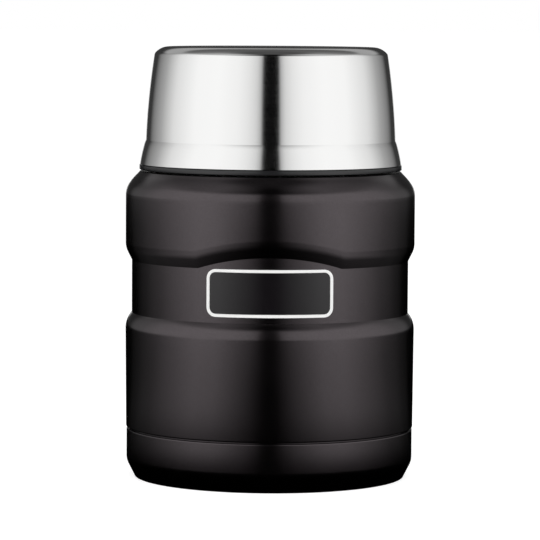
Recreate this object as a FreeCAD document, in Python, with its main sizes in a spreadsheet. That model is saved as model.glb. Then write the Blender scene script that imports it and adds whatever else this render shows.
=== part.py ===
import FreeCAD, Part
import math
import os
import Sketcher

Vector = FreeCAD.Vector
Rotation = FreeCAD.Rotation
Placement = FreeCAD.Placement

# Driving dimensions in millimetres. Radii are measured from the jar's upright axis, heights from
# the surface that it stands on.
SIZES = {
    # Outer shell
    "band_radius": 47.5,
    "recess_depth": 2.05,
    "recess_start": 54.2,
    "recess_height": 17.2,
    "lower_roll_height": 5.3,
    "upper_slope_run": 1.35,
    "upper_slope_rise": 2.7,
    "upper_roll_height": 5.7,
    "shell_wall": 0.6,
    "shell_end": 7.0,
    # Arched rise of the recess at the front
    "arch_rise": 3.7,
    "arch_half_angle": 30.2,
    "arch_bow": 0.07,
    "arch_skim": 0.05,
    "arch_lead_out": 0.45,
    # Shoulder and neck
    "shoulder_height": 100.6,
    "shoulder_drop": 7.6,
    "shoulder_round_rise": 3.27,
    "shoulder_round_run": 0.97,
    "shoulder_slope_rise": 3.18,
    "shoulder_slope_run": 2.63,
    "shoulder_bow": 0.12,
    "shoulder_crown": 0.3,
    "neck_play": 1.0,
    "neck_height": 5.8,
    "neck_corner": 0.5,
    # Inner liner and what is in the vacuum
    "liner_wall": 0.55,
    "vacuum_gap": 2.4,
    "neck_gap": 0.35,
    "liner_floor": 11.6,
    "liner_corner": 6.0,
    "liner_neck_start": 98.6,
    "flange_width": 0.6,
    "flange_thickness": 0.6,
    "foil_thickness": 0.15,
    "foil_gap": 0.05,
    "foil_start": 20.0,
    "foil_length": 64.0,
    "bottom_plate": 0.6,
    "bottom_lip": 1.8,
    "weld_gap": 0.05,
    "dimple_radius": 4.4,
    "dimple_rise": 1.1,
    "seal_radius": 4.0,
    "seal_thickness": 1.2,
    "getter_radius": 4.0,
    "getter_thickness": 1.6,
    "getter_offset": 20.0,
    "clip_thickness": 0.3,
    "clip_length": 13.0,
    "clip_width": 5.0,
    "clip_tab": 1.2,
    # Base cap
    "seam_gap": 0.4,
    "seam_round": 0.45,
    "base_radius": 47.08,
    "base_step": 0.17,
    "base_height": 16.1,
    "base_wall": 0.8,
    "base_round_height": 6.8,
    "base_round_rise": 2.3,
    "base_round_run": 0.5,
    "foot_step": 2.98,
    "foot_edge": 0.4,
    "foot_width": 3.1,
    "base_recess": 1.6,
    # Stopper
    "seat_gap": 0.2,
    "gasket_thickness": 1.4,
    "gasket_bead": 0.35,
    "plug_gap": 0.6,
    "plug_wall": 1.4,
    "plug_depth": 19.0,
    "plug_round": 1.5,
    "foam_gap": 0.2,
    "skirt_gap": 0.8,
    "skirt_wall": 1.1,
    "skirt_clearance": 0.6,
    "plate_thickness": 1.6,
    "plate_round": 1.0,
    # Stopper cover with the spoon's tray
    "cover_gap": 3.0,
    "cover_height": 7.6,
    "cover_round": 1.2,
    "tray_rim": 2.0,
    "tray_width": 38.0,
    "tray_depth": 5.6,
    "notch_radius": 9.0,
    "flute_radius": 1.9,
    "flute_depth": 0.8,
    # Cup
    "lip_gap": 0.5,
    "lip_step": 2.08,
    "lip_height": 1.6,
    "lip_edge": 0.32,
    "lip_stand": 0.15,
    "collar_step": 0.4,
    "collar_height": 7.2,
    "collar_gap": 0.25,
    "crease_gap": 1.52,
    "crease_height": 9.6,
    "flare_run": 0.48,
    "flare_drop": 1.2,
    "flare_bow": 0.12,
    "cup_height": 40.2,
    "cup_wall": 0.55,
    "cup_wall_bow": 0.45,
    "cup_top_radius": 38.25,
    "cup_edge_run": 0.65,
    "cup_edge_rise": 1.05,
    "cup_edge_bow": 0.1,
    "cup_dome_run": 4.1,
    "cup_dome_drop": 1.65,
    "bowl_radius": 39.5,
    "bowl_wall": 0.5,
    "bowl_side_gap": 0.9,
    "bowl_corner": 3.3,
    "bowl_bow": 0.3,
    "bowl_ceiling_gap": 3.5,
    # Folding spoon
    "spoon_gap": 0.3,
    "spoon_half_width": 16.0,
    "spoon_half_length": 23.5,
    "spoon_depth": 4.6,
    "spoon_cap_lift": 6.0,
    "spoon_wall": 0.8,
    "spoon_end_gap": 1.8,
    "stem_thickness": 1.3,
    "hinge_inset": 6.0,
    "eye_radius": 2.3,
    "eye_width": 5.4,
    "eye_gap": 0.3,
    "ear_thickness": 1.5,
    "rivet_radius": 1.2,
    "rivet_clearance": 0.1,
    "rivet_head": 0.5,
    "handle_thickness": 1.3,
    "handle_root_width": 8.0,
    "handle_end_width": 13.0,
    "handle_groove_width": 3.0,
    "handle_groove_depth": 0.5,
    "handle_groove_end_gap": 12.0,
}

# Counts and shares that are no lengths.
ARCH_SECTIONS = 9
ARCH_REACH = 1.2
ARCH_MARGIN = 3
OPEN_END_MARGIN = 1
ARCH_BEND_SHARE = 0.77
FRONT = -90
LINER_BEND_SHARE = 1.65625
SEAL_FOOT_SHARE = 0.8
FOOT_SLANT = 3
FOOT_EDGE_SHARE = 1.2
FLUTES = 24
FULL_TURN = 360
NEARLY_SAME = 1e-6
SHEET_COLUMN = "B"
SHEET_NAME = "Sizes"


class Size:
    """A length that carries both its number and the expression that gives it."""

    def __init__(self, number, text):
        self.number = number
        self.text = text

    def with_other(self, other, sign, result):
        return Size(result, "(%s %s %s)" % (self.text, sign, other.text))

    def __add__(self, other):
        other = as_size(other)
        return self.with_other(other, "+", self.number + other.number)

    def __sub__(self, other):
        other = as_size(other)
        return self.with_other(other, "-", self.number - other.number)

    def __mul__(self, other):
        other = as_size(other)
        return self.with_other(other, "*", self.number * other.number)

    def __truediv__(self, other):
        other = as_size(other)
        return self.with_other(other, "/", self.number / other.number)


def as_size(value):
    return value if isinstance(value, Size) else Size(float(value), repr(float(value)))


def negative(length):
    """The same length with its sign turned: a place on the other side, or an arc that hollows."""
    return as_size(0) - length


def root(value):
    return Size(math.sqrt(value.number), "sqrt(%s)" % value.text)


def lesser(first, second):
    """The tighter of two lengths."""
    return Size(min(first.number, second.number), "min(%s; %s)" % (first.text, second.text))


def make_sheet(doc):
    """Write the driving dimensions into the document's sheet, one named cell each."""
    sheet = doc.addObject("Spreadsheet::Sheet", SHEET_NAME)
    for row, (name, value) in enumerate(SIZES.items(), start=1):
        sheet.set("A%d" % row, name)
        cell = "%s%d" % (SHEET_COLUMN, row)
        sheet.set(cell, str(value))
        sheet.setAlias(cell, name)
    doc.recompute()
    return {name: Size(float(sheet.get(name)), "%s.%s" % (SHEET_NAME, name)) for name in SIZES}


doc = FreeCAD.newDocument("FoodJar")
size = make_sheet(doc)
nodes = []


def keep(feature, label):
    """Name a finished piece of the jar and add it to those that are written out."""
    feature.Label = label
    nodes.append(feature)
    return feature


def upright_arc(run, rise):
    """Radius of an arc that starts or ends upright and covers this run and rise."""
    return (run * run + rise * rise) / (run * 2)


def bowed_arc(run, rise, bow):
    """Radius of an arc that stands this far out from its chord."""
    return (run * run + rise * rise) / (bow * 8) + bow / 2


def bind(feature, **sizes):
    """Tie the named lengths of a feature to the sheet."""
    for name, value in sizes.items():
        feature.setExpression(name.replace("__", "."), as_size(value).text)


def add_sketch(body, name, plane, lift=None, turn=0):
    """A sketch on one of the body's own origin planes, lifted along or turned about the upright axis."""
    sketch = body.newObject("Sketcher::SketchObject", name)
    support = [each for each in body.Origin.OriginFeatures if each.Role == plane][0]
    sketch.AttachmentSupport = [(support, "")]
    sketch.MapMode = "FlatFace"
    sketch.AttachmentOffset = Placement(Vector(0, 0, 0), Rotation(Vector(0, 1, 0), turn))
    if lift is not None:
        bind(sketch, AttachmentOffset__Base__z=lift)
    return sketch


def pin_point(sketch, edge, end, across, up):
    """Hold one end of an edge at a place that the sheet gives."""
    for kind, value, axis in (("DistanceX", across, -2), ("DistanceY", up, -1)):
        if abs(value.number) < NEARLY_SAME:
            sketch.addConstraint(Sketcher.Constraint("PointOnObject", edge, end, axis))
            continue
        if value.number > 0:
            distance = value
            constraint = Sketcher.Constraint(kind, -1, 1, edge, end, distance.number)
        else:
            distance = negative(value)
            constraint = Sketcher.Constraint(kind, edge, end, -1, 1, distance.number)
        index = sketch.addConstraint(constraint)
        sketch.setExpression("Constraints[%d]" % index, distance.text)


def arc_middle(start, end, radius):
    """The point halfway along an arc that bulges to the right of its way, or left if radius is below 0."""
    chord = end - start
    half = chord.Length / 2
    bulge = abs(radius) - math.sqrt(radius * radius - half * half)
    outward = Vector(chord.y, -chord.x, 0).normalize()
    return (start + end) / 2 + outward * math.copysign(bulge, radius)


def draw_outline(sketch, corners):
    """Close an outline of corners (across, up), given anticlockwise. A third value is the radius of
    the arc that runs on to the next corner: it bulges outwards, or inwards if it is below 0."""
    places = [(as_size(corner[0]), as_size(corner[1])) for corner in corners]
    points = [Vector(across.number, up.number, 0) for across, up in places]
    ends = []
    for index, corner in enumerate(corners):
        start = points[index]
        end = points[(index + 1) % len(points)]
        if len(corner) == 2:
            edge = sketch.addGeometry(Part.LineSegment(start, end))
        else:
            radius = corner[2]
            middle = arc_middle(start, end, radius.number)
            edge = sketch.addGeometry(Part.Arc(start, middle, end))
        forward = sketch.getPoint(edge, 1).distanceToPoint(start) < NEARLY_SAME
        ends.append((edge, 1, 2) if forward else (edge, 2, 1))
    for index, (edge, first, last) in enumerate(ends):
        following, its_first, its_last = ends[(index + 1) % len(ends)]
        sketch.addConstraint(Sketcher.Constraint("Coincident", edge, last, following, its_first))
    for index, (edge, first, last) in enumerate(ends):
        pin_point(sketch, edge, first, *places[index])
        if len(corners[index]) == 3:
            radius = corners[index][2]
            held = radius if radius.number > 0 else negative(radius)
            number = sketch.addConstraint(Sketcher.Constraint("Radius", edge, held.number))
            sketch.setExpression("Constraints[%d]" % number, held.text)
    return sketch


def draw_circle(sketch, across, up, radius):
    """A circle whose centre and radius are tied to the sheet."""
    place = Vector(as_size(across).number, as_size(up).number, 0)
    edge = sketch.addGeometry(Part.Circle(place, Vector(0, 0, 1), radius.number))
    pin_point(sketch, edge, 3, as_size(across), as_size(up))
    index = sketch.addConstraint(Sketcher.Constraint("Radius", edge, radius.number))
    sketch.setExpression("Constraints[%d]" % index, radius.text)
    return sketch


def add_turned(body, name, corners):
    """Turn a half section about the upright axis, as part of a body."""
    sketch = draw_outline(add_sketch(body, name + "_section", "XZ_Plane"), corners)
    turned = body.newObject("PartDesign::Revolution", name)
    turned.Profile = sketch
    turned.ReferenceAxis = (sketch, ["V_Axis"])
    turned.Angle = FULL_TURN
    return turned


def turned_piece(label, corners):
    """A piece that is wholly turned from one half section."""
    body = doc.addObject("PartDesign::Body", label)
    add_turned(body, label + "_form", corners)
    return keep(body, label)


# Places that several pieces share
recess_radius = size["band_radius"] - size["recess_depth"]
lower_end_radius = size["base_radius"] + size["base_step"]
upper_crease = size["recess_start"] + size["recess_height"]
seam_top = size["base_height"] + size["seam_gap"]
tube_radius = size["base_radius"] - size["base_wall"] - size["seat_gap"]
tube_bore = tube_radius - size["shell_wall"]
neck_top = size["shoulder_height"] + size["neck_height"]
mouth_top = neck_top + size["flange_thickness"]
liner_radius = lesser(recess_radius - size["shell_wall"], tube_bore) - size["vacuum_gap"]
liner_bore = liner_radius - size["liner_wall"]
crease_radius = size["bowl_radius"] + size["crease_gap"]
lip_radius = crease_radius + size["lip_step"]
collar_bore = size["bowl_radius"] + size["collar_step"]
skirt_radius = collar_bore - size["skirt_gap"]
skirt_bore = skirt_radius - size["skirt_wall"]
neck_radius = skirt_bore - size["neck_play"]
flange_radius = neck_radius + size["flange_width"]
liner_neck_radius = neck_radius - size["shell_wall"] - size["neck_gap"]
mouth_radius = liner_neck_radius - size["liner_wall"]
plug_radius = mouth_radius - size["plug_gap"]
cover_radius = size["bowl_radius"] - size["cover_gap"]
cup_start = size["shoulder_height"] + size["lip_gap"]
cup_top = cup_start + size["cup_height"]


# Outer shell

def cut_arch(body, name, inset):
    """Cut the arched rise of the recess out of the upper band. Its crease rises as a parabola of the
    angle from the front, and the slope and the round above it rise with it."""
    band = size["band_radius"] - inset
    inner = recess_radius - inset - ARCH_MARGIN
    outer = band + ARCH_MARGIN
    slope_fall = size["upper_slope_rise"] * ARCH_MARGIN / size["upper_slope_run"]
    sections = []
    for index in range(ARCH_SECTIONS):
        share = ARCH_REACH * (2 * index / (ARCH_SECTIONS - 1) - 1)
        turn = FRONT + share * size["arch_half_angle"].number
        crease = upper_crease + size["arch_rise"] * (1 - share * share)
        low = crease - slope_fall
        high = crease + size["upper_roll_height"] * 2
        bend_start = recess_radius - inset + size["upper_slope_run"]
        bend_run = band - size["arch_skim"] - bend_start
        bend_rise = (size["upper_roll_height"] - size["upper_slope_rise"]) * ARCH_BEND_SHARE
        bend = bowed_arc(bend_run, bend_rise, size["arch_bow"])
        sketch = add_sketch(body, "%s_arch_%d" % (name, index), "XZ_Plane", turn=turn)
        draw_outline(sketch, [
            (inner, low - ARCH_MARGIN),
            (outer, low - ARCH_MARGIN),
            (outer, high),
            (band + size["arch_lead_out"], high),
            (bend_start + bend_run, crease + size["upper_slope_rise"] + bend_rise, negative(bend)),
            (bend_start, crease + size["upper_slope_rise"]),
            (inner, low),
        ])
        sections.append(sketch)
    cutter = body.newObject("PartDesign::SubtractiveLoft", name + "_arch")
    cutter.Profile = sections[0]
    cutter.Sections = sections[1:]


def shell_form(name, inset, past):
    """The filled form of the shell, inset by a wall and run past its open ends."""
    inset = as_size(inset)
    band = size["band_radius"] - inset
    recess = recess_radius - inset
    lower_band = lower_end_radius - inset
    seam = seam_top + inset
    roll_start = size["recess_start"] - size["lower_roll_height"]
    slope_top = upper_crease + size["upper_slope_rise"]
    slope_end = recess + size["upper_slope_run"]
    roll_top = upper_crease + size["upper_roll_height"]
    shoulder = size["shoulder_height"] - inset
    shoulder_start = size["shoulder_height"] - size["shoulder_drop"]
    round_end = band - size["shoulder_round_run"]
    round_top = shoulder_start + size["shoulder_round_rise"]
    slope_inner_end = round_end - size["shoulder_slope_run"]
    crown = lesser(lip_radius - inset, slope_inner_end - size["shoulder_crown"])
    neck = neck_radius - inset
    corner = size["neck_corner"]

    body = doc.addObject("PartDesign::Body", name)
    add_turned(body, name + "_bands", [
        (0, size["shell_end"] - past),
        (tube_radius - inset, size["shell_end"] - past),
        (tube_radius - inset, seam),
        (lower_band - size["seam_round"], seam, size["seam_round"]),
        (lower_band, seam + size["seam_round"]),
        (band, roll_start, upright_arc(size["recess_depth"], size["lower_roll_height"])),
        (recess, size["recess_start"]),
        (recess, upper_crease),
        (slope_end, slope_top, upright_arc(band - slope_end, roll_top - slope_top)),
        (band, roll_top),
        (band, shoulder_start, upright_arc(size["shoulder_round_run"], size["shoulder_round_rise"])),
        (round_end, round_top,
         bowed_arc(size["shoulder_slope_run"], size["shoulder_slope_rise"], size["shoulder_bow"])),
        (slope_inner_end, round_top + size["shoulder_slope_rise"]),
        (crown, shoulder - size["shoulder_crown"]),
        (crown - size["shoulder_crown"] * 2, shoulder),
        (neck + corner, shoulder, negative(corner)),
        (neck, shoulder + corner),
        (neck, neck_top + past),
        (0, neck_top + past),
    ])
    cut_arch(body, name, inset)
    add_turned(body, name + "_core", [
        (0, size["recess_start"]),
        (recess, size["recess_start"]),
        (recess, shoulder_start),
        (0, shoulder_start),
    ])
    return body


def make_outer_shell():
    shell = doc.addObject("Part::Cut", "outer_shell")
    shell.Base = shell_form("shell_outside", 0, 0)
    shell.Tool = shell_form("shell_inside", size["shell_wall"], OPEN_END_MARGIN)
    keep(shell, "outer_shell")


def make_inner_liner():
    wall = size["liner_wall"]
    floor = size["liner_floor"]
    corner = size["liner_corner"]
    inner_corner = corner - wall
    run = (liner_radius - liner_neck_radius) / 2
    rise = run * LINER_BEND_SHARE
    bend = upright_arc(run, rise)
    middle = size["liner_neck_start"] - rise
    shoulder = middle - rise
    flange_round = size["flange_thickness"] / 2
    turned_piece("inner_liner", [
        (0, floor),
        (liner_radius - corner, floor, corner),
        (liner_radius, floor + corner),
        (liner_radius, shoulder, bend),
        (liner_radius - run, middle, negative(bend)),
        (liner_neck_radius, size["liner_neck_start"]),
        (liner_neck_radius, neck_top),
        (flange_radius - flange_round, neck_top, flange_round),
        (flange_radius, neck_top + flange_round, flange_round),
        (flange_radius - flange_round, mouth_top),
        (mouth_radius + flange_round, mouth_top, flange_round),
        (mouth_radius, mouth_top - flange_round),
        (mouth_radius, size["liner_neck_start"], bend),
        (mouth_radius + run, middle, negative(bend)),
        (liner_bore, shoulder),
        (liner_bore, floor + corner, negative(inner_corner)),
        (liner_bore - inner_corner, floor + wall),
        (0, floor + wall),
    ])


# What closes and keeps the vacuum

def make_vessel_bottom():
    plate = size["bottom_plate"]
    rim = tube_bore - size["weld_gap"]
    foot = size["shell_end"]
    low = foot + size["bottom_lip"] - plate
    dimple = size["dimple_radius"]
    slant = size["dimple_rise"] / 2
    turned_piece("vessel_bottom", [
        (0, low + size["dimple_rise"]),
        (dimple, low + size["dimple_rise"]),
        (dimple + slant, low),
        (rim - plate, low),
        (rim - plate, foot),
        (rim, foot),
        (rim, low + plate),
        (dimple + slant + plate, low + plate),
        (dimple + plate, low + plate + size["dimple_rise"]),
        (0, low + plate + size["dimple_rise"]),
    ])
    seal_top = low + size["dimple_rise"]
    seal_low = seal_top - size["seal_thickness"]
    turned_piece("vacuum_seal", [
        (0, seal_low),
        (size["seal_radius"] * SEAL_FOOT_SHARE, seal_low),
        (size["seal_radius"], seal_top - size["seal_thickness"] / 2),
        (size["seal_radius"], seal_top),
        (0, seal_top),
    ])


def make_getter():
    plate_top = size["shell_end"] + size["bottom_lip"]
    getter = doc.addObject("Part::Cylinder", "getter")
    bind(getter, Radius=size["getter_radius"], Height=size["getter_thickness"],
         Placement__Base__x=size["getter_offset"],
         Placement__Base__z=plate_top + size["clip_thickness"])
    keep(getter, "getter")

    thickness = size["clip_thickness"]
    tab_in = size["getter_radius"] + size["weld_gap"]
    tab_out = tab_in + thickness
    half = size["clip_length"] / 2
    tab_top = thickness + size["clip_tab"]
    clip = doc.addObject("PartDesign::Body", "getter_clip")
    sketch = draw_outline(add_sketch(clip, "clip_strip", "XZ_Plane"), [
        (negative(half), 0),
        (half, 0),
        (half, thickness),
        (tab_out, thickness),
        (tab_out, tab_top),
        (tab_in, tab_top),
        (tab_in, thickness),
        (negative(tab_in), thickness),
        (negative(tab_in), tab_top),
        (negative(tab_out), tab_top),
        (negative(tab_out), thickness),
        (negative(half), thickness),
    ])
    strip = clip.newObject("PartDesign::Pad", "clip_pad")
    strip.Profile = sketch
    strip.Midplane = True
    bind(strip, Length=size["clip_width"])
    bind(clip, Placement__Base__x=size["getter_offset"], Placement__Base__z=plate_top)
    keep(clip, "getter_clip")


def make_radiation_foil():
    inner = liner_radius + size["foil_gap"]
    outer = inner + size["foil_thickness"]
    top = size["foil_start"] + size["foil_length"]
    turned_piece("radiation_foil", [
        (inner, size["foil_start"]),
        (outer, size["foil_start"]),
        (outer, top),
        (inner, top),
    ])


def make_base_cap():
    wall = size["base_wall"]
    radius = size["base_radius"]
    height = size["base_height"]
    seam_round = size["seam_round"]
    foot = radius - size["foot_step"]
    edge = size["foot_edge"]
    foot_inside = foot - size["foot_width"]
    recess = size["base_recess"]
    slant = recess / FOOT_SLANT
    round_low = size["base_round_height"] - size["base_round_rise"]
    round_radius = radius - size["base_round_run"]
    turned_piece("base_cap", [
        (0, recess),
        (foot_inside - slant, recess),
        (foot_inside, 0),
        (foot, 0, edge * FOOT_EDGE_SHARE),
        (foot + edge, edge),
        (round_radius, round_low, upright_arc(size["base_round_run"], size["base_round_rise"])),
        (radius, size["base_round_height"]),
        (radius, height - seam_round, seam_round),
        (radius - seam_round, height),
        (radius - wall, height),
        (radius - wall, size["base_round_height"]),
        (round_radius - wall, round_low),
        (foot + edge - wall, edge + wall),
        (foot_inside + wall, wall),
        (foot_inside - slant + wall, recess + wall),
        (0, recess + wall),
    ])


# Stopper

gasket_low = mouth_top + size["seat_gap"]
plate_low = gasket_low + size["gasket_thickness"] + size["seat_gap"]
plate_top = plate_low + size["plate_thickness"]
plug_low = mouth_top - size["plug_depth"]


def make_stopper_gasket():
    inner = plug_radius + size["seat_gap"]
    outer = flange_radius
    top = gasket_low + size["gasket_thickness"]
    bead = size["gasket_bead"]
    turned_piece("stopper_gasket", [
        (inner, gasket_low + bead),
        (inner + bead, gasket_low),
        (outer - bead, gasket_low, bead),
        (outer, gasket_low + bead),
        (outer, top - bead, bead),
        (outer - bead, top),
        (inner, top),
    ])


def make_stopper():
    skirt = skirt_radius
    skirt_low = size["shoulder_height"] + size["skirt_clearance"]
    rounding = size["plate_round"]
    turned_piece("stopper_body", [
        (0, plate_low),
        (skirt_bore, plate_low),
        (skirt_bore, skirt_low),
        (skirt, skirt_low),
        (skirt, plate_top - rounding, rounding),
        (skirt - rounding, plate_top),
        (0, plate_top),
    ])
    plug = plug_radius
    wall = size["plug_wall"]
    rounding = size["plug_round"]
    turned_piece("stopper_plug", [
        (0, plug_low),
        (plug - rounding, plug_low, rounding),
        (plug, plug_low + rounding),
        (plug, plate_low),
        (plug - wall, plate_low),
        (plug - wall, plug_low + wall),
        (0, plug_low + wall),
    ])
    gap = size["foam_gap"]
    turned_piece("stopper_insulation", [
        (0, plug_low + wall + gap),
        (plug - wall - gap, plug_low + wall + gap),
        (plug - wall - gap, plate_low - gap),
        (0, plate_low - gap),
    ])


tray_floor = plate_top + size["cover_height"] - size["tray_depth"]
tray_half = cover_radius - size["tray_rim"]


def make_stopper_cover():
    radius = cover_radius
    top = plate_top + size["cover_height"]
    rounding = size["cover_round"]
    cover = doc.addObject("PartDesign::Body", "stopper_cover")
    add_turned(cover, "cover_disc", [
        (0, plate_top),
        (radius, plate_top),
        (radius, top - rounding, rounding),
        (radius - rounding, top),
        (0, top),
    ])

    end_round = size["tray_width"] / 2
    straight = tray_half - end_round
    back = negative(straight)
    tray_sketch = draw_outline(add_sketch(cover, "tray_outline", "XY_Plane", lift=top), [
        (back, negative(end_round)),
        (straight, negative(end_round), end_round),
        (tray_half, 0, end_round),
        (straight, end_round),
        (back, end_round, end_round),
        (negative(tray_half), 0, end_round),
    ])
    tray = cover.newObject("PartDesign::Pocket", "tray")
    tray.Profile = tray_sketch
    bind(tray, Length=size["tray_depth"])

    notch_sketch = add_sketch(cover, "finger_notches", "XY_Plane", lift=top)
    for side in (end_round, negative(end_round)):
        draw_circle(notch_sketch, 0, side, size["notch_radius"])
    notches = cover.newObject("PartDesign::Pocket", "notches")
    notches.Profile = notch_sketch
    bind(notches, Length=size["tray_depth"])

    flute_place = radius + size["flute_radius"] - size["flute_depth"]
    flute_sketch = add_sketch(cover, "flute_outline", "XY_Plane", lift=top)
    draw_circle(flute_sketch, flute_place, 0, size["flute_radius"])
    flute = cover.newObject("PartDesign::Pocket", "flute")
    flute.Profile = flute_sketch
    bind(flute, Length=size["cover_height"])
    flutes = cover.newObject("PartDesign::PolarPattern", "flutes")
    flutes.Originals = [flute]
    flutes.Axis = (flute_sketch, ["N_Axis"])
    flutes.Angle = FULL_TURN
    flutes.Occurrences = FLUTES
    cover.Tip = flutes
    keep(cover, "stopper_cover")


# Cup

lip_top = cup_start + size["lip_height"]
flare_low = lip_top + size["seat_gap"]
flare_low_radius = lip_radius - size["lip_stand"]
crease_height = cup_start + size["crease_height"]
flare_high = crease_height - size["flare_drop"]
flare_high_radius = crease_radius + size["flare_run"]
flare_slope = (flare_low_radius - flare_high_radius) / (flare_high - flare_low)
collar_top = cup_start + size["collar_height"]


def flare_inside(height):
    """Radius of the cup shell's inner face at a height on its flare."""
    return flare_low_radius - size["cup_wall"] - flare_slope * (height - flare_low)


def make_cup_collar():
    edge = size["lip_edge"]
    lip = lip_radius
    turned_piece("cup_collar", [
        (collar_bore, cup_start),
        (lip - edge, cup_start, edge),
        (lip, cup_start + edge),
        (lip, lip_top - edge, edge),
        (lip - edge, lip_top),
        (flare_inside(flare_low) - size["collar_gap"], lip_top),
        (flare_inside(collar_top) - size["collar_gap"], collar_top),
        (collar_bore, collar_top),
    ])


def make_cup_shell():
    wall = size["cup_wall"]
    crease = crease_radius
    wall_top = cup_top - size["cup_dome_drop"] - size["cup_edge_rise"]
    dome_edge = size["cup_top_radius"] - size["cup_edge_run"]
    dome_low = cup_top - size["cup_dome_drop"]
    dome_start = dome_edge - size["cup_dome_run"]
    side = bowed_arc(crease - size["cup_top_radius"], wall_top - crease_height, size["cup_wall_bow"])
    edge = bowed_arc(size["cup_edge_run"], size["cup_edge_rise"], size["cup_edge_bow"])
    dome = upright_arc(size["cup_dome_drop"], size["cup_dome_run"])
    flare = bowed_arc(flare_low_radius - flare_high_radius, flare_high - flare_low, size["flare_bow"])
    turned_piece("cup_shell", [
        (flare_low_radius - wall, flare_low),
        (flare_low_radius, flare_low, flare),
        (flare_high_radius, flare_high),
        (crease, crease_height, side),
        (size["cup_top_radius"], wall_top, edge),
        (dome_edge, dome_low, dome),
        (dome_start, cup_top),
        (0, cup_top),
        (0, cup_top - wall),
        (dome_start, cup_top - wall, negative(dome)),
        (dome_edge - wall, dome_low - wall),
        (size["cup_top_radius"] - wall, wall_top - wall, negative(side)),
        (crease - wall, crease_height),
        (flare_high_radius - wall, flare_high, negative(flare)),
    ])


bowl_low = collar_top + size["collar_gap"] + size["weld_gap"]
bowl_ceiling = cup_top - size["cup_wall"] - size["bowl_ceiling_gap"]


def make_cup_bowl():
    wall = size["bowl_wall"]
    flange_top = bowl_low + wall
    corner = size["bowl_corner"]
    inner_corner = corner - wall
    side_top = bowl_ceiling - corner
    low = size["bowl_radius"] + wall
    high = size["cup_top_radius"] - size["cup_wall"] - size["bowl_side_gap"]
    side = bowed_arc(low - high, side_top - flange_top, size["bowl_bow"])
    turned_piece("cup_bowl", [
        (size["bowl_radius"], bowl_low),
        (flare_inside(flange_top) - size["weld_gap"], bowl_low),
        (flare_inside(flange_top) - size["weld_gap"], flange_top),
        (low, flange_top, side),
        (high, side_top, corner),
        (high - corner, bowl_ceiling),
        (0, bowl_ceiling),
        (0, bowl_ceiling - wall),
        (high - corner, bowl_ceiling - wall, negative(inner_corner)),
        (high - wall, side_top, negative(side)),
        (size["bowl_radius"], flange_top),
    ])


# Folding spoon, stowed in the tray

spoon_low = tray_floor + size["spoon_gap"]
spoon_rim = spoon_low + size["spoon_depth"]
hinge_height = spoon_rim + size["eye_gap"] + size["handle_thickness"] / 2
hinge_place = tray_half - size["hinge_inset"]
spoon_middle = size["spoon_half_length"] + size["spoon_end_gap"] - tray_half
ear_inside = size["eye_width"] / 2 + size["eye_gap"]


def across_cylinder(name, radius, start, length):
    """A cylinder on the spoon's hinge line, from one place across the jar."""
    cylinder = doc.addObject("Part::Cylinder", name)
    cylinder.Placement = Placement(Vector(0, 0, 0), Rotation(Vector(1, 0, 0), -90))
    bind(cylinder, Radius=radius, Height=length, Placement__Base__x=hinge_place,
         Placement__Base__y=start, Placement__Base__z=hinge_height)
    return cylinder


def block(name, corner, sides):
    """A box from its low corner and its three sides."""
    box = doc.addObject("Part::Box", name)
    bind(box, Length=sides[0], Width=sides[1], Height=sides[2], Placement__Base__x=corner[0],
         Placement__Base__y=corner[1], Placement__Base__z=corner[2])
    return box


def joined(kind, name, shapes):
    """A boolean of several shapes, all fused or all met."""
    result = doc.addObject(kind, name)
    result.Shapes = shapes
    return result


def spoon_dish(name, inset):
    """The oval dish of the spoon up to its rim: a low cap of an ellipsoid, inset by the dish's wall."""
    inset = as_size(inset)
    lift = size["spoon_cap_lift"]
    deep = size["spoon_depth"] + lift
    share = lift / deep
    spread = root(as_size(1) - share * share)
    width = size["spoon_half_width"]
    length = size["spoon_half_length"]
    egg = doc.addObject("Part::Ellipsoid", name + "_egg")
    bind(egg, Radius1=deep - inset, Radius2=length / spread - inset, Radius3=width / spread - inset,
         Placement__Base__x=spoon_middle, Placement__Base__z=spoon_rim + lift)
    room = block(name + "_room", (spoon_middle - length, negative(width), spoon_low),
                 (length * 2, width * 2, size["spoon_depth"]))
    return joined("Part::MultiCommon", name, [egg, room])


def make_spoon_bowl():
    stem_top = hinge_height - size["eye_radius"] - size["eye_gap"]
    stem_low = stem_top - size["stem_thickness"]
    ear = size["ear_thickness"]
    half = ear_inside + ear
    ear_radius = size["eye_radius"] + size["eye_gap"]
    stem_start = spoon_middle + size["spoon_half_length"] / 2
    stem = block("stem", (stem_start, negative(half), stem_low),
                 (hinge_place + ear_radius - stem_start, half * 2, size["stem_thickness"]))
    parts = [spoon_dish("spoon_outside", 0), stem]
    for name, start in (("near", negative(half)), ("far", ear_inside)):
        parts.append(across_cylinder("ear_" + name, ear_radius, start, ear))
        parts.append(block("cheek_" + name, (hinge_place - ear_radius, start, stem_low),
                           (ear_radius * 2, ear, hinge_height - stem_low)))
    whole = joined("Part::MultiFuse", "spoon_blank", parts)
    hole = across_cylinder("rivet_hole", size["rivet_radius"] + size["rivet_clearance"],
                           negative(half * 2), half * 4)
    cutters = joined("Part::MultiFuse", "spoon_cuts", [spoon_dish("spoon_inside", size["spoon_wall"]), hole])
    bowl = doc.addObject("Part::Cut", "spoon_bowl")
    bowl.Base = whole
    bowl.Tool = cutters
    keep(bowl, "spoon_bowl")

    head = size["rivet_head"]
    shaft = across_cylinder("rivet_shaft", size["rivet_radius"], negative(half), half * 2)
    head_radius = size["rivet_radius"] + head
    near_head = across_cylinder("rivet_near_head", head_radius, negative(half + head), head)
    far_head = across_cylinder("rivet_far_head", head_radius, half, head)
    keep(joined("Part::MultiFuse", "spoon_rivet", [shaft, near_head, far_head]), "spoon_rivet")


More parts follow.
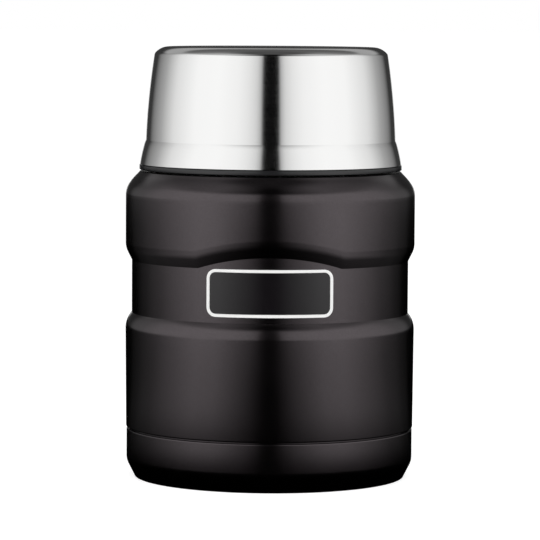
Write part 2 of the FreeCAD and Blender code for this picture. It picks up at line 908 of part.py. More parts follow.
def make_spoon_handle():
    end = size["spoon_end_gap"] - tray_half
    root_half = size["handle_root_width"] / 2
    end_half = size["handle_end_width"] / 2
    eye_half = size["eye_width"] / 2
    throat = hinge_place - size["eye_radius"] * 2
    widening = throat - size["eye_radius"]
    handle = doc.addObject("PartDesign::Body", "spoon_handle")
    outline = draw_outline(add_sketch(handle, "handle_outline", "XY_Plane", lift=hinge_height), [
        (hinge_place, negative(eye_half)),
        (hinge_place, eye_half),
        (throat, eye_half),
        (widening, root_half),
        (end + end_half, end_half, end_half),
        (end, 0, end_half),
        (end + end_half, negative(end_half)),
        (widening, negative(root_half)),
        (throat, negative(eye_half)),
    ])
    blade = handle.newObject("PartDesign::Pad", "handle_blade")
    blade.Profile = outline
    blade.Midplane = True
    bind(blade, Length=size["handle_thickness"])

    eye_sketch = draw_circle(add_sketch(handle, "eye_outline", "XZ_Plane"),
                             hinge_place, hinge_height, size["eye_radius"])
    eye = handle.newObject("PartDesign::Pad", "handle_eye")
    eye.Profile = eye_sketch
    eye.Midplane = True
    bind(eye, Length=size["eye_width"])

    hole_sketch = draw_circle(add_sketch(handle, "eye_hole_outline", "XZ_Plane"), hinge_place,
                              hinge_height, size["rivet_radius"] + size["rivet_clearance"])
    hole = handle.newObject("PartDesign::Pocket", "eye_hole")
    hole.Profile = hole_sketch
    hole.Midplane = True
    bind(hole, Length=size["eye_width"] * 2)

    groove_half = size["handle_groove_width"] / 2
    groove_start = end + size["handle_groove_end_gap"]
    groove_end = widening - groove_half
    top = hinge_height + size["handle_thickness"] / 2
    groove_sketch = draw_outline(add_sketch(handle, "groove_outline", "XY_Plane", lift=top), [
        (groove_start, negative(groove_half)),
        (groove_end, negative(groove_half), groove_half),
        (groove_end + groove_half, 0, groove_half),
        (groove_end, groove_half),
        (groove_start, groove_half, groove_half),
        (groove_start - groove_half, 0, groove_half),
    ])
    groove = handle.newObject("PartDesign::Pocket", "handle_groove")
    groove.Profile = groove_sketch
    bind(groove, Length=size["handle_groove_depth"])
    keep(handle, "spoon_handle")


make_outer_shell()
make_inner_liner()
make_vessel_bottom()
make_getter()
make_radiation_foil()
make_base_cap()
make_stopper_gasket()
make_stopper()
make_stopper_cover()
make_cup_collar()
make_cup_shell()
make_cup_bowl()
make_spoon_bowl()
make_spoon_handle()
doc.recompute()

for feature in doc.Objects:
    if "Invalid" in feature.State or "Error" in feature.State:
        raise RuntimeError("%s is in state %s" % (feature.Name, feature.State))
for feature in nodes:
    shape = feature.Shape
    if shape.isNull() or not shape.isValid() or not shape.Solids:
        raise RuntimeError("%s has no sound solid" % feature.Label)
    box = shape.BoundBox
    print("%-20s solids %d  volume %10.1f  z %7.2f to %7.2f  x %7.2f to %7.2f" % (
        feature.Label, len(shape.Solids), shape.Volume, box.ZMin, box.ZMax, box.XMin, box.XMax))

os.makedirs("parts", exist_ok=True)
for feature in nodes:
    feature.Shape.exportStep("parts/%s.step" % feature.Label)
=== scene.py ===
import math

import bmesh
import bpy
from mathutils import Matrix, Vector


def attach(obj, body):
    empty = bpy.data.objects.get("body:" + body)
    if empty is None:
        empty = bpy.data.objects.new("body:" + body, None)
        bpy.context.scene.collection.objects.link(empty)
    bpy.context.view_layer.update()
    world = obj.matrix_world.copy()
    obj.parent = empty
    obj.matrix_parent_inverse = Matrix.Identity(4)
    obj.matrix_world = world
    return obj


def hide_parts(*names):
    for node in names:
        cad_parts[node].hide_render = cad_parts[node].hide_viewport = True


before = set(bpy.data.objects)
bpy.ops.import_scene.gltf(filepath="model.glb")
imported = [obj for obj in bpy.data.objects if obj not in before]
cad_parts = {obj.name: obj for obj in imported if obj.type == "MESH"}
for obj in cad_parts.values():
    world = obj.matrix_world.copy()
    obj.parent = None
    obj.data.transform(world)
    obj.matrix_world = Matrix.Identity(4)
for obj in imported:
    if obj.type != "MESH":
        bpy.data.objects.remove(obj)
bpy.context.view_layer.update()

MM = 0.001
AROUND = 240                        # steps of a full turn
ARC_STEPS = 10                      # steps of each arc in an outline
SHARP_ANGLE = math.radians(18)      # edges with a wider turn than this stay sharp
WELD = 0.002 * MM                   # points closer than this are merged

# Sizes in millimetres: radii from the jar's axis, heights from the surface it stands on

# Painted shell
BAND = 47.5
SHELL_WALL = 0.6
LOWER_END = BAND - 0.25             # the lower band narrows this much down to its seam
SEAM = 16.5
SEAM_ROUND = 0.45
TUBE = 46.08                        # the part that goes down inside the base cap
TUBE_END = 7.0
RECESS_DEPTH = 2.05
RECESS = BAND - RECESS_DEPTH
RECESS_START = 54.2
LOWER_ROLL = 5.3
CREASE = 71.4
CREASE_SLOPE_RUN = 1.35
CREASE_SLOPE_RISE = 2.7
ROLL_TOP = CREASE + 5.7
ARCH_RISE = 3.7
ARCH_HALF_ANGLE = math.radians(30.2)

# Shoulder and bare neck
SHOULDER_START = 93.0
ARCH_FADE_TOP = SHOULDER_START - 1
SHOULDER_ROUND = (0.97, 3.27)       # run inwards and rise
SHOULDER_SLOPE = (2.63, 3.18)
SHOULDER_BOW = 0.12
SHOULDER = 100.6
CROWN_RUN = 0.6
CROWN_DROP = 0.3
CROWN_ROUND = 0.7
NECK = 37.0
NECK_TOP = 106.4
NECK_FILLET = 0.5

# Threads
THREAD_TURNS = 1.25
THREAD_STEPS = 96                   # steps of a full turn
THREAD_FADE = 1 / 12                # share of its length over which a bead fades out at each end
THREAD_END_WIDTH = 0.2              # share of a bead's width that is left at its very ends

# Section of a bead: out from the wall as a share of the bead's height, and up in millimetres
THREAD_SECTION = ((-0.2, -0.75), (0.6, -0.35), (1, 0), (0.6, 0.35), (-0.2, 0.75))

# Cup and the collar in its mouth
LIP = 43.1
LIP_LOW = 101.1
LIP_TOP = 102.7
LIP_EDGE = 0.32
COLLAR_BORE = 39.9
COLLAR_TOP = 108.3
CUP_TOP = 141.3
CUP_CREASE = 110.7
CUP_WALL = 0.55


# Outlines and turning

def upright_arc(run, rise):
    """Radius of an arc that starts or ends upright and covers this run and rise."""
    return (run * run + rise * rise) / (2 * run)


def bowed_arc(run, rise, bow):
    """Radius of an arc that stands this far out from its chord."""
    return (run * run + rise * rise) / (8 * bow) + bow / 2


def outline(corners):
    """Points of an outline given anticlockwise as (radius, height). A third value is the radius of the
    arc that runs on to the next corner: it bulges outwards, or inwards if it is below 0."""
    points = []
    for index, corner in enumerate(corners):
        start = Vector(corner[:2])
        points.append(start)
        if len(corner) == 2:
            continue
        end = Vector(corners[(index + 1) % len(corners)][:2])
        radius = abs(corner[2])
        side = math.copysign(1, corner[2])
        chord = end - start
        reach = math.sqrt(max(radius * radius - chord.length_squared / 4, 0))
        inward = Vector((-chord.y, chord.x)).normalized() * side
        centre = (start + end) / 2 + inward * reach
        first = math.atan2(start.y - centre.y, start.x - centre.x)
        sweep = side * 2 * math.asin(min(chord.length / 2 / radius, 1))
        for step in range(1, ARC_STEPS):
            angle = first + sweep * step / ARC_STEPS
            points.append(centre + Vector((math.cos(angle), math.sin(angle))) * radius)
    return points


def finish_mesh(form, name, body, materials):
    """Turn a finished bmesh into a piece that rides on a body."""
    bmesh.ops.remove_doubles(form, verts=form.verts, dist=WELD)
    bmesh.ops.recalc_face_normals(form, faces=form.faces)
    mesh = bpy.data.meshes.new(name)
    form.to_mesh(mesh)
    form.free()
    mesh.shade_smooth()
    mesh.set_sharp_from_angle(angle=SHARP_ANGLE)
    piece = bpy.data.objects.new(name, mesh)
    bpy.context.scene.collection.objects.link(piece)
    for material in materials:
        mesh.materials.append(material)
    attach(piece, body)
    return piece


def turned(corners):
    """Turn a closed outline, or one that starts and ends on the axis, about the upright axis."""
    form = bmesh.new()
    points = [form.verts.new((point.x * MM, 0, point.y * MM)) for point in outline(corners)]
    pairs = list(zip(points, points[1:] + points[:1]))
    if corners[0][0] == 0:
        pairs.pop()
    edges = [form.edges.new(pair) for pair in pairs]
    bmesh.ops.spin(form, geom=points + edges, cent=(0, 0, 0), axis=(0, 0, 1), angle=math.tau,
                   steps=AROUND, use_merge=True)
    return form


def raise_arch(form):
    """Raise the recess's upper crease and the roll above it in an arch at the front. Below them the
    recess's wall stretches, and above them the band's wall gives way."""
    for vert in form.verts:
        height = vert.co.z / MM
        angle = math.atan2(vert.co.x, -vert.co.y)
        share = angle / ARCH_HALF_ANGLE
        if abs(share) >= 1 or not RECESS_START < height < ARCH_FADE_TOP:
            continue
        weight = 1.0
        if height < CREASE:
            weight = (height - RECESS_START) / (CREASE - RECESS_START)
        elif height > ROLL_TOP:
            weight = (ARCH_FADE_TOP - height) / (ARCH_FADE_TOP - ROLL_TOP)
        vert.co.z += ARCH_RISE * (1 - share * share) * weight * MM


def thread(radius, low, high, height):
    """A screw thread's bead, wound on a wall from one height to another: a rounded ridge that fades out
    at its ends. Its own height is above 0 where it stands outwards and below 0 where it stands inwards."""
    form = bmesh.new()
    rings = []
    count = int(THREAD_STEPS * THREAD_TURNS)
    for step in range(count + 1):
        share = step / count
        angle = math.tau * THREAD_TURNS * share
        fade = min(1, share / THREAD_FADE, (1 - share) / THREAD_FADE)
        middle = low + (high - low) * share
        ring = []
        for across, up in THREAD_SECTION:
            reach = (radius + height * (across * fade if across > 0 else across)) * MM
            place = (middle + up * max(fade, THREAD_END_WIDTH)) * MM
            ring.append(form.verts.new((reach * math.cos(angle), reach * math.sin(angle), place)))
        rings.append([form.edges.new(pair) for pair in zip(ring, ring[1:] + ring[:1])])
    for lower, upper in zip(rings, rings[1:]):
        bmesh.ops.bridge_loops(form, edges=lower + upper)
    for ends in (rings[0], rings[-1]):
        bmesh.ops.holes_fill(form, edges=ends, sides=0)
    return form


# Materials

NOISE_LOW = 0.3                     # most of a noise's values lie between these two
NOISE_HIGH = 0.7
POLISHING_LINES = (60, 60, 5200)    # fine along the jar's axis, long around it


def new_material(name, colour, metallic, roughness, **more):
    """A material with its main values on the shader's own sockets."""
    material = bpy.data.materials.new(name)
    material.use_nodes = True
    shader = material.node_tree.nodes["Principled BSDF"]
    shader.inputs["Base Color"].default_value = (*colour, 1)
    shader.inputs["Metallic"].default_value = metallic
    shader.inputs["Roughness"].default_value = roughness
    for key, value in more.items():
        shader.inputs[key.replace("_", " ")].default_value = value
    return material


def noise_on(material, scale, squeeze=(1, 1, 1), detail=3):
    """Noise over the object's own coordinates, squeezed along its axes."""
    tree = material.node_tree
    place = tree.nodes.new("ShaderNodeTexCoord")
    mapping = tree.nodes.new("ShaderNodeMapping")
    mapping.inputs["Scale"].default_value = squeeze
    noise = tree.nodes.new("ShaderNodeTexNoise")
    noise.inputs["Scale"].default_value = scale
    noise.inputs["Detail"].default_value = detail
    tree.links.new(place.outputs["Object"], mapping.inputs["Vector"])
    tree.links.new(mapping.outputs["Vector"], noise.inputs["Vector"])
    return noise


def spread_to(material, noise, socket, low, high):
    """Let a noise vary one of the shader's values between two ends."""
    tree = material.node_tree
    spread = tree.nodes.new("ShaderNodeMapRange")
    spread.inputs["From Min"].default_value = NOISE_LOW
    spread.inputs["From Max"].default_value = NOISE_HIGH
    spread.inputs["To Min"].default_value = low
    spread.inputs["To Max"].default_value = high
    tree.links.new(noise.outputs["Fac"], spread.inputs["Value"])
    tree.links.new(spread.outputs["Result"], tree.nodes["Principled BSDF"].inputs[socket])


def tint_with(material, noise, dark, light):
    """Let a noise shift the base colour between two shades."""
    tree = material.node_tree
    ramp = tree.nodes.new("ShaderNodeValToRGB")
    for element, place, shade in zip(ramp.color_ramp.elements, (0.35, 0.65), (dark, light)):
        element.position = place
        element.color = (*shade, 1)
    tree.links.new(noise.outputs["Fac"], ramp.inputs["Fac"])
    tree.links.new(ramp.outputs["Color"], tree.nodes["Principled BSDF"].inputs["Base Color"])


def bump_with(material, noise, distance):
    """Let a noise raise and lower the surface by a distance in millimetres."""
    tree = material.node_tree
    bump = tree.nodes.new("ShaderNodeBump")
    bump.inputs["Distance"].default_value = distance * MM
    bump.inputs["Strength"].default_value = 1.0
    tree.links.new(noise.outputs["Fac"], bump.inputs["Height"])
    tree.links.new(bump.outputs["Normal"], tree.nodes["Principled BSDF"].inputs["Normal"])


def brushed_steel(name, colour, roughness):
    """Steel with fine polishing lines that run round the jar."""
    material = new_material(name, colour, 1.0, roughness)
    lines = noise_on(material, 1.0, POLISHING_LINES, detail=2)
    spread_to(material, lines, "Roughness", roughness * 0.8, roughness * 1.2)
    bump_with(material, lines, 0.002)
    return material


def metallic_paint(name, dark, light, roughness):
    """Glossy brown-black paint: fine metal flake under a clear coat."""
    material = new_material(name, light, 1.0, roughness, Coat_Weight=0.3, Coat_Roughness=0.06)
    flake = noise_on(material, 2600, detail=1)
    tint_with(material, flake, dark, light)
    cloud = noise_on(material, 90)
    spread_to(material, cloud, "Roughness", roughness * 0.95, roughness * 1.05)
    return material


def moulded_plastic(name, colour, roughness):
    """Moulded plastic with a faint grain."""
    material = new_material(name, colour, 0.0, roughness)
    grain = noise_on(material, 1500)
    spread_to(material, grain, "Roughness", roughness * 0.85, roughness * 1.15)
    bump_with(material, grain, 0.006)
    return material


paint = metallic_paint("brown_paint", (0.068, 0.058, 0.062), (0.081, 0.070, 0.075), 0.2)
cup_steel = brushed_steel("cup_steel", (0.80, 0.80, 0.795), 0.1)
satin_steel = brushed_steel("satin_steel", (0.66, 0.655, 0.64), 0.26)
spoon_steel = brushed_steel("polished_steel", (0.74, 0.735, 0.72), 0.12)
black_plastic = moulded_plastic("black_plastic", (0.018, 0.018, 0.019), 0.38)
collar_plastic = moulded_plastic("collar_plastic", (0.012, 0.012, 0.013), 0.16)
silicone = moulded_plastic("silicone", (0.6, 0.6, 0.58), 0.5)
foam = moulded_plastic("white_foam", (0.8, 0.79, 0.75), 0.9)
seal_metal = brushed_steel("seal_solder", (0.45, 0.44, 0.42), 0.45)
getter_metal = brushed_steel("getter_alloy", (0.2, 0.2, 0.2), 0.6)
foil = brushed_steel("foil", (0.85, 0.85, 0.85), 0.15)
plate_edge = moulded_plastic("plate_border", (0.78, 0.78, 0.77), 0.4)
plate_field = moulded_plastic("plate_field", (0.006, 0.005, 0.006), 0.14)

NODE_MATERIALS = {
    "inner_liner": satin_steel,
    "vessel_bottom": satin_steel,
    "vacuum_seal": seal_metal,
    "getter": getter_metal,
    "getter_clip": satin_steel,
    "radiation_foil": foil,
    "stopper_gasket": silicone,
    "stopper_body": black_plastic,
    "stopper_plug": black_plastic,
    "stopper_insulation": foam,
    "stopper_cover": black_plastic,
    "cup_bowl": satin_steel,
    "spoon_bowl": spoon_steel,
    "spoon_rivet": spoon_steel,
    "spoon_handle": spoon_steel,
}


def dress_nodes():
    """Give each node that stays as it is its finish."""
    for name, material in NODE_MATERIALS.items():
        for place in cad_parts[name].material_slots:
            place.material = material


# The jar's body

def shell_outline(inset):
    """Half section of the shell's outer face, or of its inner face at a wall's inset."""
    band = BAND - inset
    recess = RECESS - inset
    tube = TUBE - inset
    lower = LOWER_END - inset
    seam = SEAM + inset
    slope_end = recess + CREASE_SLOPE_RUN
    roll_start = CREASE + CREASE_SLOPE_RISE
    round_end = (band - SHOULDER_ROUND[0], SHOULDER_START + SHOULDER_ROUND[1])
    slope_top = (round_end[0] - SHOULDER_SLOPE[0], round_end[1] + SHOULDER_SLOPE[1])
    shoulder = SHOULDER - inset
    crown = LIP - inset
    neck = NECK - inset
    return [
        (tube, TUBE_END),
        (tube, seam),
        (lower - SEAM_ROUND, seam, SEAM_ROUND),
        (lower, seam + SEAM_ROUND),
        (band, RECESS_START - LOWER_ROLL, upright_arc(RECESS_DEPTH, LOWER_ROLL)),
        (recess, RECESS_START),
        (recess, CREASE),
        (slope_end, roll_start, upright_arc(band - slope_end, ROLL_TOP - roll_start)),
        (band, ROLL_TOP),
        (band, ARCH_FADE_TOP),
        (band, SHOULDER_START, upright_arc(*SHOULDER_ROUND)),
        (*round_end, bowed_arc(*SHOULDER_SLOPE, SHOULDER_BOW)),
        slope_top,
        (crown, shoulder - CROWN_DROP, CROWN_ROUND),
        (crown - CROWN_RUN, shoulder),
        (neck + NECK_FILLET, shoulder, -NECK_FILLET),
        (neck, shoulder + NECK_FILLET),
        (neck, NECK_TOP),
    ]


def make_shell():
    """The steel shell with its two bands, the arched recess, the shoulder and the bare neck."""
    paint_end = LIP - 1.5           # the shoulder is bare steel inside this radius
    neck_low = SHOULDER - 0.8
    inside = outline(shell_outline(SHELL_WALL))
    form = turned(shell_outline(0) + [tuple(point) for point in reversed(inside)])
    raise_arch(form)
    for face in form.faces:
        centre = face.calc_center_median() / MM
        if centre.z > neck_low and math.hypot(centre.x, centre.y) < paint_end:
            face.material_index = 1
    shell = finish_mesh(form, "shell_skin", "jar", [paint, satin_steel])
    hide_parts("outer_shell")
    bead = thread(NECK, low=102.2, high=105.4, height=0.55)
    finish_mesh(bead, "neck_thread", "jar", [satin_steel])


def make_base():
    """The base cap with its rounded foot, below the fine seam."""
    side = 47.08
    top = 16.1
    wall = 0.8
    round_run = 0.5
    round_low = 4.5
    round_high = 6.8
    foot = 44.5
    foot_edge = 0.4
    foot_round = 0.48
    foot_inside = 41.0
    floor_edge = foot_inside - 0.53
    floor = 1.6
    form = turned([
        (0, floor),
        (floor_edge, floor),
        (foot_inside, 0),
        (foot - foot_edge, 0, foot_round),
        (foot, foot_edge),
        (side - round_run, round_low, upright_arc(round_run, round_high - round_low)),
        (side, round_high),
        (side, top - SEAM_ROUND, SEAM_ROUND),
        (side - SEAM_ROUND, top),
        (side - wall, top),
        (side - wall, round_high),
        (side - round_run - wall, round_low),
        (foot - wall, foot_edge + wall),
        (foot_inside + wall, wall),
        (floor_edge + wall, floor + wall),
        (0, floor + wall),
    ])
    base = finish_mesh(form, "base_skin", "jar", [paint])
    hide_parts("base_cap")


# The cup

def make_cup():
    """The satin steel cup: domed top edge, bowed wall, crease and flared lower wall."""
    wall = CUP_WALL
    crease = 41.02
    flare_top = (41.5, CUP_CREASE - 1.2)
    flare_low = (LIP - 0.15, LIP_TOP + 0.2)
    flare_bow = 0.12
    side_bow = 0.45
    edge_bow = 0.1
    edge_run = 0.65
    edge_rise = 1.05
    dome_run = 4.1
    dome_drop = 1.65
    side_top = (38.25, CUP_TOP - dome_drop - edge_rise)
    dome_low = (side_top[0] - edge_run, CUP_TOP - dome_drop)
    flare = bowed_arc(flare_low[0] - flare_top[0], flare_top[1] - flare_low[1], flare_bow)
    side = bowed_arc(crease - side_top[0], side_top[1] - CUP_CREASE, side_bow)
    edge = bowed_arc(edge_run, edge_rise, edge_bow)
    dome = upright_arc(dome_drop, dome_run)
    form = turned([
        (0, CUP_TOP - wall),
        (dome_low[0] - dome_run, CUP_TOP - wall, -dome),
        (dome_low[0] - wall, dome_low[1] - wall),
        (side_top[0] - wall, side_top[1] - wall, -side),
        (crease - wall, CUP_CREASE),
        (flare_top[0] - wall, flare_top[1], -flare),
        (flare_low[0] - wall, flare_low[1]),
        (*flare_low, flare),
        flare_top,
        (crease, CUP_CREASE, side),
        (*side_top, edge),
        (*dome_low, dome),
        (dome_low[0] - dome_run, CUP_TOP),
        (0, CUP_TOP),
    ])
    cup = finish_mesh(form, "cup_skin", "cup", [cup_steel])
    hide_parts("cup_shell")


def make_collar():
    """The thread collar in the cup's mouth, whose lip shows as a ring under the cup."""
    inner_lip = LIP - LIP_EDGE
    ledge = 1.0
    wall = 1.08
    form = turned([
        (COLLAR_BORE, LIP_LOW),
        (inner_lip, LIP_LOW, LIP_EDGE),
        (LIP, LIP_LOW + LIP_EDGE),
        (LIP, LIP_TOP - LIP_EDGE, LIP_EDGE),
        (inner_lip, LIP_TOP),
        (LIP - ledge, LIP_TOP),
        (COLLAR_BORE + wall, COLLAR_TOP),
        (COLLAR_BORE, COLLAR_TOP),
    ])
    collar = finish_mesh(form, "collar_skin", "cup_rim", [collar_plastic])
    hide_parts("cup_collar")
    bead = thread(COLLAR_BORE, low=103.0, high=106.6, height=-0.35)
    finish_mesh(bead, "collar_thread", "cup_rim", [collar_plastic])


def make_stopper_thread():
    """The bead on the stopper's skirt that the cup's collar is screwed down on."""
    skirt = 39.1
    bead = thread(skirt, low=103.6, high=107.2, height=0.4)
    finish_mesh(bead, "stopper_thread", "stopper", [black_plastic])


# The bare plate on the recess

def plate_rim(half_width, low, high, corner):
    """Points round a flat upright plate with round corners, in millimetres across and up."""
    corner_steps = 8
    points = []
    for across, up, first in ((1, 1, 0), (-1, 1, 90), (-1, -1, 180), (1, -1, 270)):
        centre = Vector((across * (half_width - corner), (low + high) / 2 + up * ((high - low) / 2 - corner)))
        for step in range(corner_steps + 1):
            angle = math.radians(first + 90 * step / corner_steps)
            points.append(centre + Vector((math.cos(angle), math.sin(angle))) * corner)
    return points


def bend_to_recess(form, half_width):
    """Cut a flat plate in narrow slices and bend it round the recess's wall."""
    slices = 36
    for index in range(1, slices):
        place = (-1 + 2 * index / slices) * half_width * MM
        bmesh.ops.bisect_plane(form, geom=form.verts[:] + form.edges[:] + form.faces[:],
                               plane_co=(place, 0, 0), plane_no=(1, 0, 0))
    for vert in form.verts:
        radius = RECESS * MM - vert.co.y
        angle = vert.co.x / (RECESS * MM)
        vert.co = Vector((radius * math.sin(angle), -radius * math.cos(angle), vert.co.z))


def make_plate():
    """A plain plate with round corners, bent to the recess's wall: a bright rim round a dark field."""
    half_width = 20.6
    border = 0.85
    thickness = 0.45
    field_sunk = 0.15
    field_slope = 0.12
    form = bmesh.new()
    rim = plate_rim(half_width, low=56.2, high=CREASE, corner=3.0)
    face = form.faces.new([form.verts.new((point.x * MM, 0, point.y * MM)) for point in rim])
    form.normal_update()
    bmesh.ops.inset_individual(form, faces=[face], thickness=border * MM, use_even_offset=True)
    for each in form.faces:
        each.material_index = 1 if len(each.verts) > 4 else 0
    front = bmesh.ops.extrude_face_region(form, geom=list(form.faces))
    bmesh.ops.translate(form, verts=[each for each in front["geom"] if isinstance(each, bmesh.types.BMVert)],
                        vec=(0, -thickness * MM, 0))
    field = [each for each in form.faces
             if each.material_index == 1 and each.calc_center_median().y < -thickness / 2 * MM]
    slope = bmesh.ops.inset_region(form, faces=field, thickness=field_slope * MM,
                                   depth=-field_sunk * MM, use_even_offset=True)
    for each in slope["faces"]:
        each.material_index = 0
    bend_to_recess(form, half_width)
    finish_mesh(form, "front_plate", "jar", [plate_edge, plate_field])


# Room, light and camera, in metres

# How bright the surround is, by the angle from the front in degrees: on its floor, at the cup's height
# and high up
LOW_GLOW = [(5, 0), (11, 0.1), (24, 0.42), (42, 0.92), (58, 1.0), (78, 0.62), (100, 0.22), (122, 0.05),
            (140, 0)]
CUP_GLOW = [(7, 0), (9, 0.45), (13, 0.68), (20, 0.82), (30, 0.93), (50, 1.0), (74, 0.98), (100, 0.76),
            (120, 0.38), (137, 0.2), (147, 0.035)]
TOP_GLOW = [(10, 0), (30, 0.2), (60, 0.5), (100, 0.36), (140, 0.12), (180, 0.09)]
ZENITH_GLOW = 0.07
BACK_GLOW = 0.34                    # wall behind the jar, for level tops that are seen from above
STRIP_GLOW = 0.8                    # low strip behind the jar, for the cup as seen from behind
GLOW_LEVEL = 1.16                   # times all of these

# Where the surround goes over from one to the next, each as start and end: distances from the jar's
# foot, heights, and shares of the half turn from front to back
NEAR_JAR = (0.07, 0.22)
FAR_FLOOR = (0.5, 1.0)
NEAR_FLOOR_SHARE = 0.67             # of the light that the far floor gives
CUP_HEIGHT = (0.0, 0.07)
HIGH_UP = (0.9, 1.5)
ZENITH = (1.8, 1.92)
BACK_TURN = (0.68, 0.78)
BACK_LOW = (0.58, 0.78)
BACK_HIGH = (1.4, 1.15)
STRIP_TURN = (0.9, 0.94)
STRIP_LOW = (0.01, 0.05)
STRIP_HIGH = (0.17, 0.1)

# Half section of the surround, as distance from the axis and height: its floor lies just above the pale one
SURROUND_SECTION = ((0, 0.0001), (1.3, 0.0001), (1.3, 1.3), (0.9, 1.8), (0, 2.0))
SURROUND_STEPS = 96


def math_node(tree, operation, first, second=None):
    """A step of arithmetic in a material: each input is another node's output or a number."""
    node = tree.nodes.new("ShaderNodeMath")
    node.operation = operation
    for socket, value in zip(node.inputs, (first, second)):
        if value is None:
            continue
        if isinstance(value, (int, float)):
            socket.default_value = value
        else:
            tree.links.new(value, socket)
    return node.outputs[0]


def seen_rays(tree, strength):
    """The strength for camera, glossy and transmission rays, and 0 for the others."""
    path = tree.nodes.new("ShaderNodeLightPath")
    total = path.outputs["Is Camera Ray"]
    for kind in ("Is Glossy Ray", "Is Transmission Ray"):
        total = math_node(tree, "MAXIMUM", total, path.outputs[kind])
    return math_node(tree, "MULTIPLY", total, strength)


def level_ramp(tree, turn, stops):
    """A level that follows an angle of 0 to 180 degrees, given as a share of a half turn."""
    ramp = tree.nodes.new("ShaderNodeValToRGB")
    elements = ramp.color_ramp.elements
    for index, (angle, level) in enumerate(stops):
        if index < 2:
            elements[index].position = angle / 180
        else:
            elements.new(angle / 180)
        elements[index].color = (level, level, level, 1)
    tree.links.new(turn, ramp.inputs["Fac"])
    return ramp.outputs["Color"]


def smooth_step(tree, value, start, end):
    """0 at the start, 1 at the end, and a smooth change between them. The end may be the lower one."""
    step = tree.nodes.new("ShaderNodeMapRange")
    step.interpolation_type = "SMOOTHSTEP"
    step.inputs["From Min"].default_value = start
    step.inputs["From Max"].default_value = end
    tree.links.new(value, step.inputs["Value"])
    return step.outputs["Result"]


def blend_levels(tree, share, low, high):
    """From one level to another as the share goes from 0 to 1."""
    rest = math_node(tree, "SUBTRACT", 1, share)
    return math_node(tree, "ADD", math_node(tree, "MULTIPLY", rest, low),
                     math_node(tree, "MULTIPLY", share, high))


def patch(tree, turn, height, turns, lows, highs):
    """1 in a patch of the surround at the back, between two heights, and 0 outside it."""
    across = math_node(tree, "MULTIPLY", smooth_step(tree, turn, *turns), smooth_step(tree, height, *lows))
    return math_node(tree, "MULTIPLY", across, smooth_step(tree, height, *highs))


def stage_material(name, colour):
    """A plain stage surface. Its light, if it has any, is set by the caller."""
    material = bpy.data.materials.new(name)
    material.use_nodes = True
    shader = material.node_tree.nodes["Principled BSDF"]
    shader.inputs["Base Color"].default_value = (*colour, 1)
    shader.inputs["Roughness"].default_value = 0.9
    shader.inputs["Specular IOR Level"].default_value = 0.0
    shader.inputs["Emission Color"].default_value = (1, 1, 1, 1)
    return material


def stage_piece(form, name, material):
    """Turn a finished bmesh into a piece of the stage."""
    mesh = bpy.data.meshes.new(name)
    form.to_mesh(mesh)
    form.free()
    mesh.materials.append(material)
    piece = bpy.data.objects.new(name, mesh)
    bpy.context.scene.collection.objects.link(piece)
    return piece


def make_floor():
    """A wide pale floor that shows white, with the jar's shadow on it."""
    glow = 0.66
    half_side = 20
    form = bmesh.new()
    bmesh.ops.create_grid(form, x_segments=1, y_segments=1, size=half_side)
    material = stage_material("floor", (0.8, 0.8, 0.8))
    tree = material.node_tree
    tree.links.new(seen_rays(tree, glow), tree.nodes["Principled BSDF"].inputs["Emission Strength"])
    stage_piece(form, "floor", material)


def surround_glow(tree):
    """The surround's strength: it follows the turn from the front, the height and the distance."""
    place = tree.nodes.new("ShaderNodeTexCoord")
    parts = tree.nodes.new("ShaderNodeSeparateXYZ")
    tree.links.new(place.outputs["Object"], parts.inputs["Vector"])
    height = parts.outputs["Z"]
    aside = math_node(tree, "ABSOLUTE", parts.outputs["X"])
    ahead = math_node(tree, "MULTIPLY", parts.outputs["Y"], -1)
    turn = math_node(tree, "DIVIDE", math_node(tree, "ARCTAN2", aside, ahead), math.pi)
    reach = tree.nodes.new("ShaderNodeVectorMath")
    reach.operation = "LENGTH"
    tree.links.new(place.outputs["Object"], reach.inputs[0])
    distance = reach.outputs["Value"]
    near = smooth_step(tree, distance, *NEAR_JAR)
    far = blend_levels(tree, smooth_step(tree, distance, *FAR_FLOOR), NEAR_FLOOR_SHARE, 1)
    floor = math_node(tree, "MULTIPLY", far, level_ramp(tree, turn, LOW_GLOW))
    low = math_node(tree, "MULTIPLY", near, floor)
    glow = blend_levels(tree, smooth_step(tree, height, *CUP_HEIGHT), low, level_ramp(tree, turn, CUP_GLOW))
    strip = patch(tree, turn, height, STRIP_TURN, STRIP_LOW, STRIP_HIGH)
    glow = blend_levels(tree, strip, glow, STRIP_GLOW)
    glow = blend_levels(tree, smooth_step(tree, height, *HIGH_UP), glow, level_ramp(tree, turn, TOP_GLOW))
    glow = blend_levels(tree, smooth_step(tree, height, *ZENITH), glow, ZENITH_GLOW)
    behind = patch(tree, turn, height, BACK_TURN, BACK_LOW, BACK_HIGH)
    glow = blend_levels(tree, behind, glow, BACK_GLOW)
    return math_node(tree, "MULTIPLY", glow, GLOW_LEVEL)


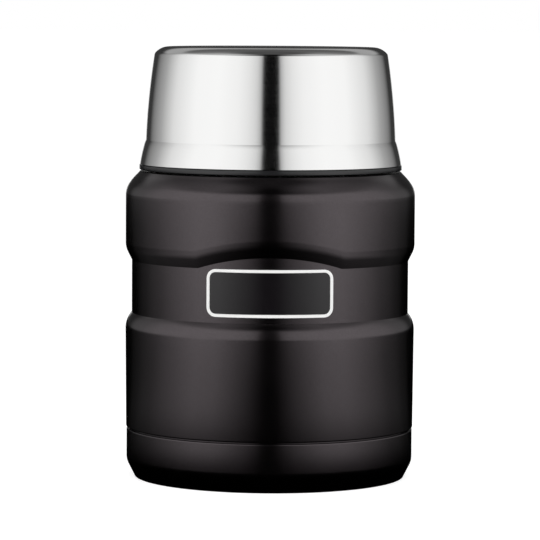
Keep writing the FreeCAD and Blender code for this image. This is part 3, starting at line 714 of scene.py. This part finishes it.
def make_surround():
    """A round studio wall with its floor and ceiling, which only reflections show: two wide graded
    lights beside the camera, and dark in front and close to the jar."""
    form = bmesh.new()
    section = [form.verts.new((reach, 0, height)) for reach, height in SURROUND_SECTION]
    edges = [form.edges.new(pair) for pair in zip(section, section[1:])]
    bmesh.ops.spin(form, geom=section + edges, cent=(0, 0, 0), axis=(0, 0, 1), angle=math.tau,
                   steps=SURROUND_STEPS, use_merge=True)
    material = stage_material("surround", (0, 0, 0))
    tree = material.node_tree
    tree.links.new(surround_glow(tree), tree.nodes["Principled BSDF"].inputs["Emission Strength"])
    surround = stage_piece(form, "surround", material)
    surround.visible_camera = False
    surround.visible_diffuse = False
    surround.visible_shadow = False
    surround.visible_transmission = False
    surround.visible_volume_scatter = False


def make_world():
    """White where it is seen, and a plain soft fill for everything else."""
    fill = 0.45
    world = bpy.data.worlds.new("studio")
    bpy.context.scene.world = world
    world.use_nodes = True
    tree = world.node_tree
    background = tree.nodes["Background"]
    background.inputs["Color"].default_value = (1, 1, 1, 1)
    tree.links.new(math_node(tree, "MAXIMUM", seen_rays(tree, 1.0), fill), background.inputs["Strength"])


def soft_box(name, angle):
    """A wide lamp that lights the jar without a mirror image of its own."""
    distance = 1.3
    raised = 0.45
    aim = Vector((0, 0, 0.07))
    light = bpy.data.lights.new(name, "AREA")
    light.shape = "RECTANGLE"
    light.size = 1.5
    light.size_y = 1.8
    light.energy = 14.0
    lamp = bpy.data.objects.new(name, light)
    turn = math.radians(angle)
    place = Vector((distance * math.sin(turn), -distance * math.cos(turn), raised))
    facing = (aim - place).to_track_quat("-Z", "Y").to_matrix().to_4x4()
    lamp.matrix_world = Matrix.Translation(place) @ facing
    lamp.visible_camera = False
    lamp.visible_glossy = False
    bpy.context.scene.collection.objects.link(lamp)


def make_lights():
    """One soft box on each side of the camera."""
    aside = 40
    soft_box("main_box_left", -aside)
    soft_box("main_box_right", aside)


def make_camera():
    """The photograph's view: from the front, a little above, through a long lens."""
    looks_down = math.radians(4.408)
    leans = math.radians(0.33)
    data = bpy.data.cameras.new("camera")
    data.sensor_width = 36
    data.lens = 228.2
    camera = bpy.data.objects.new("camera", data)
    place = Matrix.Translation((0, -1.1242, 0.1546))
    tilt = Matrix.Rotation(math.radians(90) - looks_down, 4, "X")
    roll = Matrix.Rotation(leans, 4, "Z")
    camera.matrix_world = place @ tilt @ roll
    bpy.context.scene.collection.objects.link(camera)
    bpy.context.scene.camera = camera


make_camera()
make_world()
make_floor()
make_surround()
make_lights()
dress_nodes()
make_shell()
make_base()
make_cup()
make_collar()
make_stopper_thread()
make_plate()

bpy.context.scene.view_settings.view_transform = "Standard"
